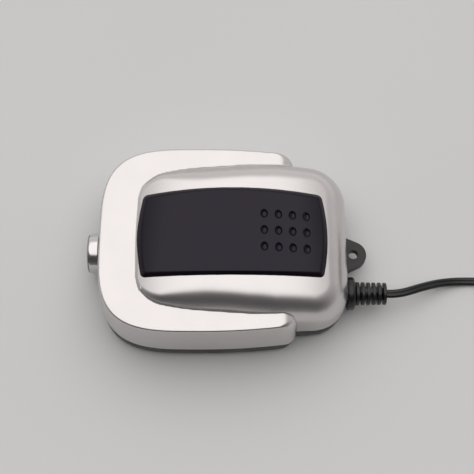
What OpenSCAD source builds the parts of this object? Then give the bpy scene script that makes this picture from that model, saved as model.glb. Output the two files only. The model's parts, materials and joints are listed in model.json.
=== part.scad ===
// Twin-outlet aquarium air pump with a flow regulator and a mains lead.
// Origin: middle of the pump's own box (lead left out), on the surface that the feet stand on.
// +Z is up, -X is the regulator knob's end, +X is the end with the hanging tab and the lead.

/* [Case] */
// Height of the flat horseshoe face of the upper case
deck_z = 44; // [42:0.5:46]
// Height of the parting line between the two case halves
seam_z = 15; // [14.5:0.5:16]
// Distance from the horseshoe's middle to its closed end, at deck height
horseshoe_l = 61; // [59:0.5:63]
// Half the width of the horseshoe, at deck height
horseshoe_w = 58.4; // [57:0.2:60]
// How far the case wall leans out between deck and parting line
draft = 2.2; // [1:0.1:3]
// Wall thickness of the mouldings
wall = 2.2; // [1.8:0.1:2.6]

/* [Dome] */
// Height of the dome's silver top at its highest
dome_z = 55.2; // [54:0.2:56]
// Drop of the arch over arch_span from its middle
arch_drop = 9.8; // [8:0.2:11]
// Half the width of the dome where it is widest
dome_w = 50.2; // [49:0.2:51]
// Height of the black panel above the dome
panel_rise = 1.8; // [1:0.1:2.5]

/* [Regulator] */
// Diameter of the knob
knob_d = 24.4; // [20:0.2:25]
// How far the knob's face stands out from the origin
knob_end = 91; // [90:0.5:92]
// Height of the knob's axis
knob_z = 16.5; // [16:0.1:17]
// Outer diameter of the two air outlets
outlet_d = 4.6; // [4:0.1:5]

/* [Drive] */
// Height of the middle of the magnet drive
drive_z = 24; // [23:0.5:25]
// Distance of each arm's pivot from the middle line
pivot_y = 24; // [23.5:0.5:25]
// Outer diameter of the rubber pivot bushes
bush_d = 9.8; // [9.6:0.05:9.85]

/* [Hanging tab] */
// Diameter of the hole
tab_hole_d = 5.8; // [4:0.2:6.4]
// Height of the tab's upper face
tab_top = 15; // [14:0.5:16]

/* [Lead] */
// Width of the flat twin lead
lead_w = 5.9; // [5:0.1:6.2]
// Thickness of the flat twin lead
lead_t = 3.4; // [3:0.1:3.6]
// Height at which the lead leaves the case
lead_z = 15; // [14.5:0.5:15.5]
// Diameter of the lead's coil at the middle of its turns
coil_d = 66; // [60:1:70]

/* [Hidden] */
$fn = 48;

// colours
silver = [0.80, 0.78, 0.77];
black = [0.10, 0.10, 0.11];
rubber = [0.13, 0.12, 0.12];
steel = [0.66, 0.67, 0.69];
copper = [0.72, 0.42, 0.22];
white = [0.92, 0.92, 0.90];

// plan of the horseshoe: a squarish oval end, slightly bowed sides and rounded arm ends
horseshoe_x = -20;         // middle of the oval end
oval_power = 3.65;         // squareness of the oval end
side_bow = 2.6;            // how much the sides close in over bow_span
bow_span = 46;
arm_end = 36.8;            // where the arms end
arm_roll = 9.5;            // radius with which the arms' tops roll down
arm_corner = 10;           // corner radius of the arms in plan
deck_edge = 1.2;           // edge radius of the deck, and at the arms' ends
arm_edge = 7;

// plan of the dome: a rounded box whose sides close in towards its left end
dome_left = -59.8;
dome_right = 67;
left_corner = 18;
right_corner = 21;
dome_wide_x = 20;
arch_mid = -2;
arch_span = 55;
side_round = 20;           // radius of the dome's shoulder along its sides
left_round = 3;            // and at its left end
right_round = 13;          // and at its right end

function smooth(t) = let (c = min(max(t, 0), 1)) c * c * (3 - 2 * c);
function power(c, p) = sign(c) * pow(abs(c), p);

// how far an edge of radius r takes the wall in, at a height h below the deck
function edge_in(h, r) = h >= r ? 0 : r - sqrt(max(r * r - (r - h) * (r - h), 0));

// horseshoe outline with its wall moved out by grow and its arms ending at end_x, h below the
// deck; the deck's edge is crisp round the oval end and softens along the arms
function edge_radius(x) = deck_edge + (arm_edge - deck_edge) * smooth((x - 8) / 24);
function side_y(x, w, h) = w - side_bow * pow(max(x - horseshoe_x, 0) / bow_span, 2)
    - edge_in(h, edge_radius(x));
function horseshoe_half(grow, end_x, h) =
    let (l = horseshoe_l + grow - edge_in(h, deck_edge), w = horseshoe_w + grow,
        oval_w = w - edge_in(h, deck_edge), corner_x = end_x - arm_corner)
    concat(
        [for (a = [0 : 5 : 90]) [horseshoe_x - l * power(cos(a), 2 / oval_power),
            oval_w * power(sin(a), 2 / oval_power)]],
        [for (i = [1 : 7]) let (x = horseshoe_x + i * (corner_x - horseshoe_x) / 8)
            [x, side_y(x, w, h)]],
        [for (a = [90 : -15 : 0]) let (x = corner_x + arm_corner * cos(a))
            [x, side_y(x, w, h) - arm_corner + arm_corner * sin(a)]]);
function mirrored(half) = concat(half,
    [for (i = [len(half) - 1 : -1 : 1]) [half[i][0], -half[i][1]]]);
function horseshoe(grow, end_x, h = 99) = mirrored(horseshoe_half(grow, end_x, h));

// how far the wall stands out and where the arms end, at height z
function lean(z) = draft * (deck_z - z) / (deck_z - seam_z);
function arm_end_at(z) = let (h = z - deck_z + arm_roll)
    h <= 0 ? arm_end : arm_end - arm_roll + sqrt(max(arm_roll * arm_roll - h * h, 0));

// dome: distance inside its plan, radius of its shoulder, and height of its surface
dome_mid = (dome_left + dome_right) / 2;
function corner(x) = x < dome_mid ? left_corner : right_corner;
function dome_half(x) = dome_w - 0.0018 * pow(min(x - dome_wide_x, 0), 2)
    - 0.001 * pow(max(x - dome_wide_x, 0), 2);
function past_corner(x) = abs(x - dome_mid) - (dome_right - dome_left) / 2 + corner(x);
function dome_inside(x, y) =
    let (qx = past_corner(x), qy = abs(y) - dome_half(x) + corner(x))
    corner(x) - norm([max(qx, 0), max(qy, 0)]) - min(max(qx, qy), 0);
function shoulder(x) = left_round + (side_round - left_round) * smooth((x - dome_left) / 60)
    + (right_round - side_round) * smooth((x - 14) / 42);
function dome_top(x, y) = dome_z - arch_drop * pow((x - arch_mid) / arch_span, 2)
    - 0.6 * pow(y / 26, 2);
function dome_surface(x, y) =
    let (r = shoulder(x), d = min(max(dome_inside(x, y), 0), r))
    dome_top(x, y) - r + sqrt(r * r - (r - d) * (r - d));
// half the width of the dome's plan at x, corners included
function dome_edge(x) = let (out = max(past_corner(x), 0), r = corner(x))
    dome_half(x) - r + sqrt(max(r * r - out * out, 0));

// stations along the dome, closer together where it turns
dome_x = concat(
    [for (a = [0 : 15 : 75]) dome_left + left_corner * (1 - cos(a))],
    [for (x = [-41 : 7 : 43]) x],
    [for (a = [75 : -12.5 : 0]) dome_right - right_corner * (1 - cos(a))]);
dome_y = [-1, -0.985, -0.94, -0.87, -0.78, -0.66, -0.5, -0.3, -0.1,
    0.1, 0.3, 0.5, 0.66, 0.78, 0.87, 0.94, 0.985, 1];

// closed solid between outlines with the same number of points, one per height
module loft(outlines, heights) {
    n = len(outlines[0]);
    m = len(outlines);
    polyhedron(
        [for (k = [0 : m - 1]) for (p = outlines[k]) [p[0], p[1], heights[k]]],
        concat(
            [[for (i = [n - 1 : -1 : 0]) i]],
            [for (k = [0 : m - 2]) for (i = [0 : n - 1]) let (j = (i + 1) % n)
                [k * n + i, k * n + j, (k + 1) * n + j, (k + 1) * n + i]],
            [[for (i = [0 : n - 1]) (m - 1) * n + i]]));
}

// solid of the horseshoe with its surface moved in by inset, from height low up
module horseshoe_solid(inset, low) {
    heights = concat([low, 22, 28, deck_z - arm_roll], [for (h = [3, 5.5, 7.3, 8.3, 8.9, 9.3, 9.5])
        deck_z - arm_roll + h]);
    loft([for (z = heights) horseshoe(lean(z) - inset, arm_end_at(z) - inset, deck_z - z)],
        [for (z = heights) z > low ? z - inset : z]);
}

// solid under the dome's surface moved in by inset, from height low up
module dome_solid(inset, low) {
    k = 1 - inset / dome_w;
    nx = len(dome_x);
    ny = len(dome_y);
    top = [for (x = dome_x) for (f = dome_y) let (y = f * dome_edge(x))
        [dome_mid + (x - dome_mid) * (1 - inset / 63), y * k, dome_surface(x, y) - inset]];
    rim = concat([for (i = [0 : nx - 1]) i * ny], [for (j = [1 : ny - 2]) (nx - 1) * ny + j],
        [for (i = [nx - 1 : -1 : 0]) i * ny + ny - 1], [for (j = [ny - 2 : -1 : 1]) j]);
    n = len(rim);
    polyhedron(
        concat(top, [for (r = rim) [top[r][0], top[r][1], low]]),
        concat(
            [for (i = [0 : nx - 2]) for (j = [0 : ny - 2])
                [i * ny + j, i * ny + j + 1, (i + 1) * ny + j + 1]],
            [for (i = [0 : nx - 2]) for (j = [0 : ny - 2])
                [i * ny + j, (i + 1) * ny + j + 1, (i + 1) * ny + j]],
            [for (k = [0 : n - 1]) let (l = (k + 1) % n)
                [nx * ny + k, rim[k], rim[l], nx * ny + l]],
            [[for (k = [0 : n - 1]) nx * ny + k]]));
}

// plan of the dome as an outline, moved in by inset
function dome_plan(inset) =
    let (k = 1 - inset / dome_w,
        half = [for (x = dome_x) [dome_mid + (x - dome_mid) * (1 - inset / 63), dome_edge(x) * k]])
    concat(half, [for (i = [len(half) - 1 : -1 : 0]) [half[i][0], -half[i][1]]]);

// both plans of the case together, moved in by inset at the parting line
module case_plan(inset) {
    polygon(horseshoe(draft - inset, arm_end - inset));
    polygon(dome_plan(inset));
}

// mirrored copy about the pump's middle plane
module front() mirror([0, 1, 0]) children();

// cylinder along +X and along +Y, starting at the current point
module rod_x(l, r) rotate([0, 90, 0]) cylinder(h = l, r = r);
module rod_y(l, r) rotate([-90, 0, 0]) cylinder(h = l, r = r);

// oval tube, w wide and h high, with one ring of points for each point of its route
module tube(route, w, h, sides) {
    n = len(route);
    function along(i) = let (d = route[min(i + 1, n - 1)] - route[max(i - 1, 0)]) d / norm(d);
    ring = [for (i = [0 : n - 1]) let (t = along(i), side = [-t[1], t[0], 0] / norm([t[0], t[1]]),
        up = cross(t, side)) for (k = [0.5 : sides])
        route[i] + side * cos(k * 360 / sides) * w / 2 + up * sin(k * 360 / sides) * h / 2];
    polyhedron(ring, concat(
        [[for (k = [0 : sides - 1]) k]],
        [for (i = [0 : n - 2]) for (k = [0 : sides - 1]) let (l = (k + 1) % sides)
            [i * sides + k, (i + 1) * sides + k, (i + 1) * sides + l, i * sides + l]],
        [[for (k = [sides - 1 : -1 : 0]) (n - 1) * sides + k]]));
}

// ---- places shared by several pieces ----
floor_z = 3;               // underside of the lower case
floor_t = 2.5;
joint_gap = 0.3;           // how far the lower case stays inside the upper one
base_z = [floor_z, 6, seam_z];
base_in = [2.2, 0.4, joint_gap];
case_screw_at = [[-46, 31], [58.5, 11]];
foot_at = [[-62, 33], [50, 36]];
foot_r = 6;
outlet_y = 26.5;           // air outlets, either side of the knob
outlet_z = 12;
alcove_x = -71;            // inner face of the two outlet alcoves
alcove = [22, 19];         // width and height of an alcove
alcove_low = 4;
lead_y = -25.5;
case_right = dome_right;
relief_collar_l = 5;
relief_l = 19;
relief_end = case_right + relief_collar_l + relief_l;
filter_x = -32;
filter_size = [36, 28];
pivot_x = 46;
head_x = 12;               // middle of the diaphragms and pump heads
arm_y = 22.5;              // inner face of the arms
arm_t = 3;
rim_y = 34.2;              // where a diaphragm's rim sits on its pump head

module at_corners(places) {
    for (p = places) for (s = [-1, 1]) translate([p[0], s * p[1], 0]) children();
}

// block that an outlet alcove is cut from, and the alcove itself with grow = 0
module alcove_block(grow) {
    for (s = [-1, 1]) translate([-90, s * outlet_y - alcove[0] / 2 - grow, alcove_low - grow])
        cube([alcove_x + 90 + grow, alcove[0] + 2 * grow, alcove[1] + 2 * grow]);
}

// ---- case ----
module lower_case() {
    color(black) difference() {
        union() {
            difference() {
                union() {
                    loft([for (i = base_in) horseshoe(draft - i, arm_end - i)], base_z);
                    loft([for (i = base_in) dome_plan(i)], base_z);
                }
                translate([0, 0, floor_z + floor_t]) linear_extrude(20)
                    case_plan(4.5);
                translate([0, 0, floor_z + 4.5]) linear_extrude(20)
                    case_plan(joint_gap + wall);
            }
            // inner pillars for the case screws, the core, the pivots and the lead's clamp
            at_corners(case_screw_at) translate([0, 0, 4]) cylinder(h = 26, r = 4.5);
            for (s = [-1, 1]) {
                translate([29, s * 15, 4]) cylinder(h = 11.4, r = 4.5);
                translate([5, s * 16.5, 4]) cylinder(h = 12, r = 3);
                translate([pivot_x, s * pivot_y, 4]) cylinder(h = 12.8, r = 5.5);
                // slotted posts that hold a pump head by its foot
                translate([head_x - 20.1, s * 43 - 5, 4]) cube([4, 10, 14]);
                translate([head_x + 16.1, s * 43 - 5, 4]) cube([4, 10, 14]);
                translate([-68, s * 20 - 3, 4]) cube([10, 6, 3]);
            }
            for (y = [-32.6, -18.4]) translate([57.5, y, 4]) cylinder(h = 12.7, r = 2.4);
            // frame round the filter
            translate([filter_x - filter_size[0] / 2 - 1.7, -filter_size[1] / 2 - 1.7, 4])
                cube([filter_size[0] + 3.4, filter_size[1] + 3.4, 4.2]);
            // outlet alcoves, inside the case wall
            intersection() {
                alcove_block(2);
                translate([0, 0, floor_z + 0.5]) linear_extrude(seam_z - floor_z - 0.5)
                    polygon(horseshoe(draft - 1.4, arm_end - 5));
            }
            // hanging tab with rounded end
            hull() {
                translate([case_right + 4.9, 0, tab_top - 5]) cylinder(h = 5, r = 8.5, $fn = 32);
                translate([case_right - 3, -12, tab_top - 5]) cube([2, 24, 5]);
            }
        }
        // hole of the hanging tab
        translate([case_right + 5.4, 0, tab_top - 6]) cylinder(h = 7, d = tab_hole_d);
        alcove_block(0);
        for (s = [-1, 1]) translate([alcove_x - 1, s * outlet_y, outlet_z]) rod_x(4, 3.05);
        // passages for the knob's hub and for the lead
        translate([-88, 0, knob_z]) rod_x(12, 6.5);
        translate([case_right - 8, lead_y, lead_z]) rod_x(9, 5.55);
        translate([case_right - 8, lead_y - 5.55, lead_z]) cube([9, 11.1, 5]);
        at_corners(case_screw_at) translate([0, 0, floor_z - 1]) {
            cylinder(h = 9, r = 3.4);
            cylinder(h = 30, r = 1.7);
        }
        at_corners(foot_at) translate([0, 0, floor_z - 1]) {
            cylinder(h = 2.2, r = foot_r + 0.2);
            cylinder(h = 6, r = 2);
        }
        for (s = [-1, 1]) {
            translate([29, s * 15, 6]) cylinder(h = 12, r = 1.9);
            translate([pivot_x, s * pivot_y, 6]) cylinder(h = 12, r = 2);
        }
        for (y = [-32.6, -18.4]) translate([57.5, y, 8]) cylinder(h = 12, r = 1.2);
        // filter opening with a step for its cover and bars over the felt
        translate([filter_x - filter_size[0] / 2, -filter_size[1] / 2, floor_z - 1])
            cube([filter_size[0], filter_size[1], 4.6]);
        for (i = [-1 : 1]) translate([filter_x + i * 11.5 - 4.5, -filter_size[1] / 2 + 2, 4])
            cube([9, filter_size[1] - 4, 6]);
    }
}

module upper_case() {
    color(silver) difference() {
        // the silver shell with its screw bosses and the seat of the inlay, as one moulded skin
        resize([0, 0, 0]) difference() {
            union() {
                difference() {
                    union() {
                        horseshoe_solid(0, seam_z);
                        dome_solid(0, seam_z);
                    }
                    difference() {
                        union() {
                            horseshoe_solid(wall, seam_z - 1);
                            dome_solid(wall, seam_z - 1);
                        }
                        at_corners(case_screw_at) translate([0, 0, 30.2]) cylinder(h = 30, r = 4.5);
                    }
                }
                intersection() {
                    alcove_block(2);
                    translate([0, 0, seam_z]) linear_extrude(20)
                        polygon(horseshoe(-0.8, arm_end - 5));
                }
            }
            panel_body(0.15, 6, 0.9);
        }
        alcove_block(0);
        translate([-88, 0, knob_z]) rod_x(12, 6.5);
        translate([case_right - 8, lead_y, lead_z]) rod_x(9, 5.55);
        at_corners(case_screw_at) translate([0, 0, 29]) cylinder(h = 8.5, r = 1.5);
    }
}

// black inlay: a barrel-shaped plate with bevelled edges that follows the dome
panel_mid = -2;
panel_l = 56.3;            // half its length along the middle
panel_w = 26.6;            // half its width in the middle
panel_bow = [3.6, 2.3];    // how much the ends and the sides bow out
panel_u = [-1, -0.965, -0.85, -0.7, -0.5, -0.3, -0.1, 0.1, 0.3, 0.5, 0.7, 0.85, 0.965, 1];
panel_v = [-1, -0.925, -0.75, -0.4, 0, 0.4, 0.75, 0.925, 1];
function panel_xy(u, v, grow) = [panel_mid + u * (panel_l + grow - panel_bow[0] * v * v),
    v * (panel_w + grow - panel_bow[1] * u * u)];
function panel_top(x, y) = dome_z + panel_rise - 0.1
    - arch_drop * pow((x - arch_mid) / arch_span, 2) - 0.5 * pow(y / 26, 2);
module panel_body(grow, up, down) {
    nu = len(panel_u);
    nv = len(panel_v);
    function edge(u, v) = (abs(u) == 1 || abs(v) == 1) && up == 0 ? panel_rise - 0.1 : 0;
    xy = [for (u = panel_u) for (v = panel_v) panel_xy(u, v, grow)];
    drop = [for (u = panel_u) for (v = panel_v) edge(u, v)];
    top = [for (i = [0 : nu * nv - 1]) [xy[i][0], xy[i][1],
        panel_top(xy[i][0], xy[i][1]) + up - drop[i]]];
    bottom = [for (p = xy) [p[0], p[1], panel_top(p[0], p[1]) - panel_rise - down]];
    rim = concat([for (i = [0 : nu - 1]) i * nv], [for (j = [1 : nv - 2]) (nu - 1) * nv + j],
        [for (i = [nu - 1 : -1 : 0]) i * nv + nv - 1], [for (j = [nv - 2 : -1 : 1]) j]);
    m = nu * nv;
    quads = [for (i = [0 : nu - 2]) for (j = [0 : nv - 2]) [i * nv + j, (i + 1) * nv + j]];
    polyhedron(concat(top, bottom), concat(
        [for (q = quads) [q[0], q[0] + 1, q[1] + 1]],
        [for (q = quads) [q[0], q[1] + 1, q[1]]],
        [for (q = quads) [m + q[0], m + q[1] + 1, m + q[0] + 1]],
        [for (q = quads) [m + q[0], m + q[1], m + q[1] + 1]],
        [for (k = [0 : len(rim) - 1]) let (a = rim[k], b = rim[(k + 1) % len(rim)])
            [m + a, a, b, m + b]]));
}

dimple_x = 16.6;           // first column, and the steps between columns and rows
dimple_step = [8.35, 10.3];
module top_panel() {
    color(black) difference() {
        panel_body(0, 0, 0.8);
        for (i = [0 : 3]) for (j = [-1 : 1])
            translate([dimple_x + i * dimple_step[0], j * dimple_step[1],
                panel_top(dimple_x + i * dimple_step[0], 0) - 0.9]) cylinder(h = 3, r = 2.1);
    }
}

module case_screws() {
    color(steel) at_corners(case_screw_at) difference() {
        union() {
            translate([0, 0, 8.1]) cylinder(h = 2.8, r = 3.1);
            translate([0, 0, 9]) cylinder(h = 27, r = 1.48);
        }
        translate([0, 0, 7.1]) cylinder(h = 2.4, r = 1.5, $fn = 6);
    }
}

module rubber_feet() {
    color(rubber) at_corners(foot_at) union() {
        rotate_extrude() polygon([[0, 0], [foot_r - 1.2, 0], [foot_r, 1], [foot_r, floor_z + 1.15],
            [0, floor_z + 1.15]]);
        translate([0, 0, floor_z]) cylinder(h = 3.8, r = 1.95);
    }
}

module filter_cover() {
    color(black) difference() {
        translate([filter_x - filter_size[0] / 2 + 0.2, -filter_size[1] / 2 + 0.2, floor_z + 0.2])
            cube([filter_size[0] - 0.4, filter_size[1] - 0.4, 1.6]);
        for (i = [-4 : 4]) translate([filter_x + i * 3.6 - 0.8, -filter_size[1] / 2 + 4, floor_z])
            cube([1.6, filter_size[1] - 8, 3]);
    }
}

module filter_felt() {
    color(white) translate([filter_x - filter_size[0] / 2 + 0.5, -filter_size[1] / 2 + 0.5,
        floor_z + 1.85]) cube([filter_size[0] - 1, filter_size[1] - 1, 1.65]);
}

// ---- outlets and regulator ----
body_x = [-68.9, -57];
module valve_body() {
    color(white) difference() {
        union() {
            translate([body_x[0], -30.5, 7.1]) cube([body_x[1] - body_x[0], 61, 10.4]);
            translate([-76, 0, knob_z]) rod_x(body_x[1] + 76, 8);
            for (s = [-1, 1]) translate([body_x[1] - 1, s * 14, outlet_z]) rod_x(9, 2.4);
        }
        translate([-77, 0, knob_z]) rod_x(30, 4);
        for (s = [-1, 1]) {
            translate([body_x[0] - 1, s * outlet_y, outlet_z]) rod_x(7, 3);
            translate([body_x[1] - 5, s * 14, outlet_z]) rod_x(14, 1.4);
        }
        translate([-63, -28, 13.6]) rod_y(56, 1.4);
    }
}

module outlet_nozzle_back() {
    color(white) translate([alcove_x, outlet_y, outlet_z]) difference() {
        union() {
            translate([-8, 0, 0]) rod_x(8, outlet_d / 2);
            rotate([0, 90, 0]) rotate_extrude() polygon([[0, -10.5], [outlet_d / 2 - 0.5, -10.5],
                [outlet_d / 2, -9.3], [outlet_d / 2, -8], [0, -8]]);
            translate([-1.2, 0, 0]) rod_x(1.2, 4.4);
            rod_x(8, 2.98);
        }
        translate([-11, 0, 0]) rod_x(20, 1.3);
    }
}
module outlet_nozzle_front() front() outlet_nozzle_back();

module valve_spindle() {
    color(white) translate([0, 0, knob_z]) difference() {
        union() {
            translate([-75, 0, 0]) rod_x(17.8, 3.95);
            translate([-89.5, 0, 0]) rod_x(16, 2.5);
            translate([-57.3, 0, 0]) rod_x(3.3, 2.5);
        }
        // air groove and the seat of the O-ring
        translate([-63, 0, 0]) rotate([0, 90, 0]) rotate_extrude() translate([3, -1.6])
            square([2, 3.2]);
        translate([-71.5, 0, 0]) rotate([0, 90, 0]) rotate_extrude() translate([2.7, -1.1])
            square([2, 2.2]);
        translate([-56.3, 0, 0]) rotate([0, 90, 0]) rotate_extrude() translate([1.9, -0.5])
            square([2, 1]);
    }
}

module spindle_o_ring() {
    color(rubber) translate([-71.5, 0, knob_z]) rotate([0, 90, 0]) rotate_extrude()
        translate([3.32, 0]) circle(r = 0.6, $fn = 24);
}

module spindle_clip() {
    color(steel) translate([-56.7, 0, knob_z]) difference() {
        rod_x(0.8, 4.8);
        translate([-1, 0, 0]) rod_x(3, 1.95);
        translate([-1, -1.4, -6]) cube([3, 2.8, 6]);
    }
}

module regulator_knob() {
    r = knob_d / 2;
    color(silver) translate([-knob_end, 0, knob_z]) difference() {
        rotate([0, 90, 0]) rotate_extrude($fn = 96) polygon(concat(
            [[0, 0]], [for (a = [2 : 2 : 12]) [60 * sin(a) * 0.98, 60 * (1 - cos(a))]],
            [[r, 2.6], [r, 7.6], [r - 1.6, 7.6], [r - 1.6, 5], [4.6, 5], [4.6, 14], [0, 14]]));
        translate([1.4, 0, 0]) rod_x(14, 2.52);
        // pointer groove over the face
        translate([-1, -0.7, 3]) cube([2, 1.4, 12]);
    }
}

// ---- magnet drive ----
core_x = [2, 34];
core_h = 16;
module core_laminations() {
    color(steel) difference() {
        translate([core_x[0], -20, drive_z - core_h / 2]) cube([core_x[1] - core_x[0], 40, core_h]);
        for (s = [-1, 1]) {
            translate([core_x[0] - 1, s * 9 - 4, 0]) cube([24, 8, 60]);
            translate([29, s * 15, 0]) cylinder(h = 60, r = 3);
        }
    }
}

module core_bushes() {
    color(rubber) for (s = [-1, 1]) translate([29, s * 15, 15.5]) difference() {
        union() {
            cylinder(h = 17.6, r = 2.95);
            cylinder(h = 0.45, r = 4.4);
        }
        translate([0, 0, -1]) cylinder(h = 30, r = 1.95);
    }
}

module core_screws() {
    color(steel) for (s = [-1, 1]) translate([29, s * 15, 0]) difference() {
        union() {
            translate([0, 0, 6.5]) cylinder(h = 28, r = 1.88);
            translate([0, 0, 33.2]) cylinder(h = 2.4, r = 4);
        }
        translate([0, 0, 34.2]) cylinder(h = 3, r = 1.6, $fn = 6);
    }
}

module coil_bobbin() {
    color(white) difference() {
        union() {
            translate([3, -6.4, drive_z - 9.4]) cube([21.6, 12.8, 18.8]);
            for (x = [3, 23.1]) translate([x, -12.7, drive_z - 15.5]) cube([1.5, 25.4, 31]);
            for (s = [-1, 1]) translate([24.4, s * 6 - 2, drive_z + 9]) cube([5, 4, 5]);
        }
        translate([2, -5.1, drive_z - 8.1]) cube([30, 10.2, 16.2]);
    }
}

module coil_winding() {
    color(copper) translate([4.6, 0, drive_z]) rotate([0, 90, 0]) linear_extrude(18.4) difference() {
        hull() for (y = [-1, 1]) for (z = [-1, 1]) translate([z * 11.2, y * 8.6])
            circle(r = 3.2, $fn = 32);
        square([19, 13], center = true);
    }
}

// swing arm: eye on its pivot bush, straight leg beside the coil, short leg with the magnet
module swing_arm_back() {
    color(black) difference() {
        union() {
            translate([-8.5, arm_y, drive_z - 6.5]) cube([51, arm_t, 13]);
            translate([-8.5, 3.6, drive_z - 6.5]) cube([arm_t, 21.9, 13]);
            translate([pivot_x, pivot_y, drive_z - 6.5]) cylinder(h = 13, r = 7);
            // boss for the diaphragm
            translate([head_x, arm_y, drive_z]) rod_y(arm_t + 1.5, 4.5);
        }
        translate([pivot_x, pivot_y, 0]) cylinder(h = 60, d = bush_d + 0.1);
        translate([head_x, arm_y - 1, drive_z]) rod_y(9, 1.3);
    }
}
module swing_arm_front() front() swing_arm_back();

module magnet_back() {
    color(steel) translate([-5.45, 4, drive_z - 6]) cube([5.2, 12, 12]);
}
module magnet_front() front() magnet_back();

module pivot_pin_back() {
    color(steel) translate([pivot_x, pivot_y, 7]) cylinder(h = 26, r = 1.98);
}
module pivot_pin_front() front() pivot_pin_back();

module pivot_bush_back() {
    color(rubber) translate([pivot_x, pivot_y, 16.9]) difference() {
        cylinder(h = 14.1, d = bush_d);
        translate([0, 0, -1]) cylinder(h = 20, r = 2);
    }
}
module pivot_bush_front() front() pivot_bush_back();

module pivot_clip_back() {
    color(steel) translate([pivot_x, pivot_y, 31.3]) difference() {
        cylinder(h = 0.8, r = 4.4);
        translate([0, 0, -1]) cylinder(h = 3, r = 2);
        translate([0, -1.2, -1]) cube([6, 2.4, 3]);
    }
}
module pivot_clip_front() front() pivot_clip_back();

// ---- pump heads ----
// rubber diaphragm: rim on the head, rolled web, centre boss on the arm
module diaphragm_back() {
    color(rubber) translate([head_x, 0, drive_z]) rotate([-90, 0, 0]) rotate_extrude()
        polygon([[0, 27.1], [6, 27.1], [6, 28.6], [8, 29.3], [9.6, 32], [13, 33],
            [13, rim_y - 0.05], [9, rim_y - 0.05], [8, 32.6], [6.8, 30.6], [0, 30.6]]);
}
module diaphragm_front() front() diaphragm_back();

module diaphragm_screw_back() {
    color(steel) translate([head_x, arm_y, drive_z]) union() {
        translate([0, -1.1, 0]) rod_y(1.05, 2.6);
        translate([0, -1, 0]) rod_y(5.5, 1.28);
    }
}
module diaphragm_screw_front() front() diaphragm_screw_back();

module clamp_ring_back() {
    color(white) translate([head_x, 0, drive_z]) rotate([-90, 0, 0]) rotate_extrude()
        polygon([[11, 31], [15, 31], [15, rim_y - 0.05], [13.1, rim_y - 0.05], [13.1, 32.95],
            [11, 32.2]]);
}
module clamp_ring_front() front() clamp_ring_back();

head_w = 32;
head_h = 28;
module pump_head_back() {
    color(white) translate([head_x, 0, drive_z]) difference() {
        union() {
            translate([-head_w / 2, rim_y, -head_h / 2]) cube([head_w, 14.8, head_h]);
            // foot in the slotted posts, and the barb for the hose
            translate([-head_w / 2, 39, -head_h / 2 - 4]) cube([head_w, 8, 5]);
            translate([-head_w / 2 - 8, rim_y + 11.5, 0]) rod_x(9, 2.4);
        }
        // chamber, its two ports and the two pockets behind the valves
        translate([0, rim_y - 1, 0]) rod_y(6.5, 9);
        for (x = [-6, 6]) translate([x, rim_y, 0]) rod_y(12, 1.2);
        translate([-13.5, rim_y + 8.5, -11]) cube([12.5, 8, 22]);
        translate([1, rim_y + 8.5, -11]) cube([12.5, 8, 22]);
        translate([-head_w / 2 - 9, rim_y + 11.5, 0]) rod_x(12, 1.3);
        for (x = [-1, 1]) for (z = [-1, 1]) translate([x * 14.6, rim_y + 4, z * 12.6])
            rod_y(12, 0.9);
    }
}
module pump_head_front() front() pump_head_back();

// rubber valve flaps: the inlet's lies in the chamber, the outlet's in its pocket
module flap() {
    color(rubber) union() {
        rod_y(0.8, 2.6);
        translate([-0.6, 0, 2]) cube([1.2, 0.8, 3.5]);
    }
}
module inlet_flap_back() translate([head_x + 6 - 1.1, rim_y + 4.65, drive_z - 1]) flap();
module inlet_flap_front() front() inlet_flap_back();
module outlet_flap_back() translate([head_x - 6, rim_y + 8.55, drive_z]) flap();
module outlet_flap_front() front() outlet_flap_back();

module head_cover_back() {
    color(black) translate([head_x, rim_y + 14.85, drive_z]) difference() {
        translate([-head_w / 2, 0, -head_h / 2]) cube([head_w, 1.6, head_h]);
        // air way into the inlet pocket
        for (z = [-6, 0, 6]) translate([4, -1, z - 1]) cube([7, 4, 2]);
        for (x = [-1, 1]) for (z = [-1, 1]) translate([x * 14.6, -1, z * 12.6]) rod_y(5, 1.1);
    }
}
module head_cover_front() front() head_cover_back();

module head_screws() {
    color(steel) for (s = [0, 1]) mirror([0, s, 0]) for (x = [-1, 1]) for (z = [-1, 1])
        translate([head_x + x * 14.6, 0, drive_z + z * 12.6]) union() {
            translate([0, rim_y + 6, 0]) rod_y(11, 0.88);
            translate([0, rim_y + 16.5, 0]) rod_y(1, 1.35);
        }
}

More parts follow.
